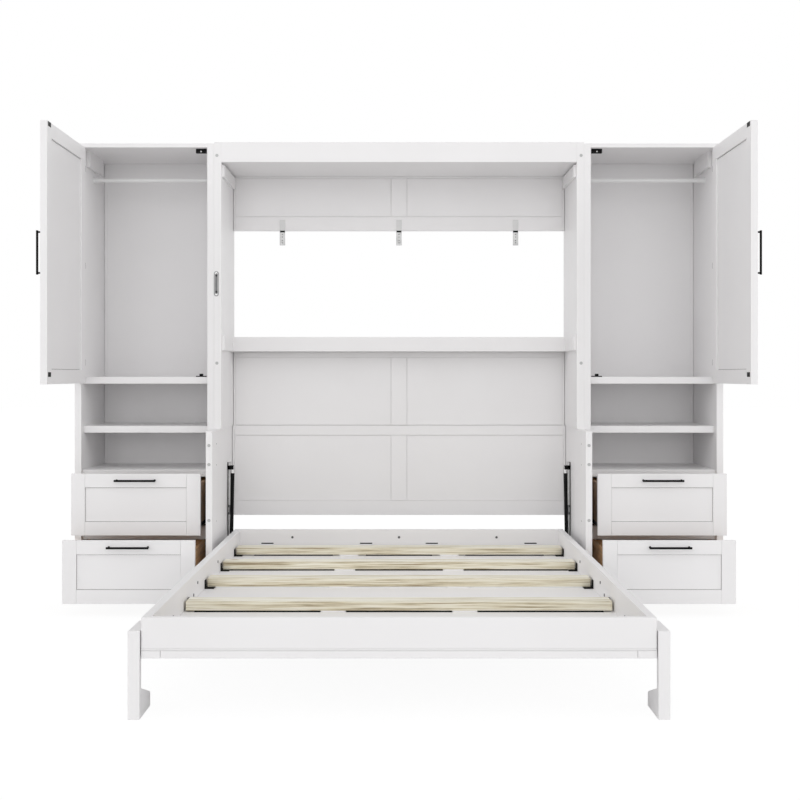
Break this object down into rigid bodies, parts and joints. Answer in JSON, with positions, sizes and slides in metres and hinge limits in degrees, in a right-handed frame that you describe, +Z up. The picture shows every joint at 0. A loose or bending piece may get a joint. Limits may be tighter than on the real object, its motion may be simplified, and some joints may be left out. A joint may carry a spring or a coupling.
{
  "type": "wall bed",
  "caption": "Fold-down wall bed with slatted platform, hook-shaped folding legs and a levelling desk, between wardrobes with doors, open shelves and drawers",
  "frame": {"origin": "on the floor, at the wall plane, on the centre line of the cabinet", "axes": "+Z up, +Y into the wall, the bed comes down towards -Y, +X to the right as seen from the front"},
  "size_m": [3.123, 2.31, 2.206],
  "materials": {
    "white_paint": "satin white paint on board",
    "pine": "planed, unfinished pine",
    "brown_ply": "clear-coated brown plywood",
    "black_steel": "satin black coating",
    "steel": "zinc-plated steel"
  },
  "bodies": {
    "cabinet": {"upper_side_panel_left": "white_paint", "upper_side_panel_right": "white_paint", "lower_side_board_left": "white_paint", "lower_side_board_right": "white_paint", "top_panel": "white_paint", "top_front_rail": "white_paint", "upper_back_panel": "white_paint", "middle_back_panel": "white_paint", "lower_back_panel": "white_paint", "cross_rails": "white_paint", "panel_brackets": "steel", "latch_plate": "steel", "fastener_caps": "white_paint", "mechanism_left": "steel", "mechanism_right": "steel", "outer_panel_left": "white_paint", "outer_panel_right": "white_paint", "inner_panel_left": "white_paint", "inner_panel_right": "white_paint", "side_tops": "white_paint", "side_shelves": "white_paint", "side_backs": "white_paint", "plinths": "white_paint", "hanging_rods": "white_paint", "door_catches": "black_steel", "hinge_leaves": "steel", "drawer_runners": "black_steel"},
    "bed": {"bed_rail_left": "white_paint", "bed_rail_right": "white_paint", "head_board": "white_paint", "foot_board": "white_paint", "base_panel": "white_paint", "slats": "pine", "slat_fittings": "steel", "bed_pivots": "steel"},
    "leg_left": {"leg_left": "white_paint"},
    "leg_right": {"leg_right": "white_paint"},
    "desk": {"desk_board": "white_paint", "desk_arms": "black_steel"},
    "level_links": {"level_links": "black_steel"},
    "door_left": {"door_left": "white_paint", "door_fittings_left": "black_steel"},
    "door_right": {"door_right": "white_paint", "door_fittings_right": "black_steel"},
    "drawer_upper_left": {"drawer_front_upper_left": "white_paint", "drawer_box_upper_left": "brown_ply", "drawer_fittings_upper_left": "black_steel"},
    "drawer_upper_right": {"drawer_front_upper_right": "white_paint", "drawer_box_upper_right": "brown_ply", "drawer_fittings_upper_right": "black_steel"},
    "drawer_lower_left": {"drawer_front_lower_left": "white_paint", "drawer_box_lower_left": "brown_ply", "drawer_fittings_lower_left": "black_steel"},
    "drawer_lower_right": {"drawer_front_lower_right": "white_paint", "drawer_box_lower_right": "brown_ply", "drawer_fittings_lower_right": "black_steel"},
    "strut_rod_left": {"strut_rod_left": "steel"},
    "strut_cylinder_left": {"strut_cylinder_left": "black_steel"},
    "strut_rod_right": {"strut_rod_right": "steel"},
    "strut_cylinder_right": {"strut_cylinder_right": "black_steel"}
  },
  "joints": [
    {"name": "bed_fold", "type": "hinge", "parent": "cabinet", "child": "bed", "pos_m": [0, -0.46, 0.262], "axis": [-1, 0, 0], "range_deg": [0, 90]},
    {"name": "leg_left_fold", "type": "hinge", "parent": "bed", "child": "leg_left", "pos_m": [-0.839, -2.154, 0.236], "axis": [1, 0, 0], "range_deg": [0, 90]},
    {"name": "leg_right_fold", "type": "hinge", "parent": "bed", "child": "leg_right", "pos_m": [0.839, -2.154, 0.236], "axis": [1, 0, 0], "range_deg": [0, 90]},
    {"name": "desk_fold", "type": "hinge", "parent": "bed", "child": "desk", "pos_m": [0, -0.94, 0.178], "axis": [1, 0, 0], "range_deg": [0, 90]},
    {"name": "level_links_swing", "type": "hinge", "parent": "cabinet", "child": "level_links", "pos_m": [0, -0.502, 0.22], "axis": [-1, 0, 0], "range_deg": [0, 90]},
    {"name": "strut_left_swing", "type": "hinge", "parent": "cabinet", "child": "strut_rod_left", "pos_m": [-0.833, -0.19, 0.626], "axis": [-1, 0, 0], "range_deg": [0, 17.58]},
    {"name": "strut_left_slide", "type": "slide", "parent": "strut_rod_left", "child": "strut_cylinder_left", "axis": [0, -0.1227, -0.9924], "range_m": [0, 0.28118]},
    {"name": "strut_right_swing", "type": "hinge", "parent": "cabinet", "child": "strut_rod_right", "pos_m": [0.833, -0.19, 0.626], "axis": [-1, 0, 0], "range_deg": [0, 17.58]},
    {"name": "strut_right_slide", "type": "slide", "parent": "strut_rod_right", "child": "strut_cylinder_right", "axis": [0, -0.1227, -0.9924], "range_m": [0, 0.28118]},
    {"name": "door_left_swing", "type": "hinge", "parent": "cabinet", "child": "door_left", "pos_m": [-1.527, -0.4355, 1.614], "axis": [0, 0, -1], "range_deg": [-90, 10]},
    {"name": "door_right_swing", "type": "hinge", "parent": "cabinet", "child": "door_right", "pos_m": [1.527, -0.4355, 1.614], "axis": [0, 0, 1], "range_deg": [-90, 10]},
    {"name": "drawer_upper_left_slide", "type": "slide", "parent": "cabinet", "child": "drawer_upper_left", "axis": [0, -1, 0], "range_m": [-0.18, 0.17]},
    {"name": "drawer_upper_right_slide", "type": "slide", "parent": "cabinet", "child": "drawer_upper_right", "axis": [0, -1, 0], "range_m": [-0.18, 0.17]},
    {"name": "drawer_lower_left_slide", "type": "slide", "parent": "cabinet", "child": "drawer_lower_left", "axis": [0, -1, 0], "range_m": [-0.323, 0.027]},
    {"name": "drawer_lower_right_slide", "type": "slide", "parent": "cabinet", "child": "drawer_lower_right", "axis": [0, -1, 0], "range_m": [-0.323, 0.027]}
  ],
  "couplings": [
    {"joint": "desk_fold", "follows": "bed_fold", "ratio": 1},
    {"joint": "level_links_swing", "follows": "bed_fold", "ratio": 1},
    {"joint": "strut_left_swing", "follows": "bed_fold", "ratio": 0.19533},
    {"joint": "strut_left_slide", "follows": "bed_fold", "m_per_rad": 0.17899},
    {"joint": "strut_right_swing", "follows": "bed_fold", "ratio": 0.19533},
    {"joint": "strut_right_slide", "follows": "bed_fold", "m_per_rad": 0.17899}
  ]
}
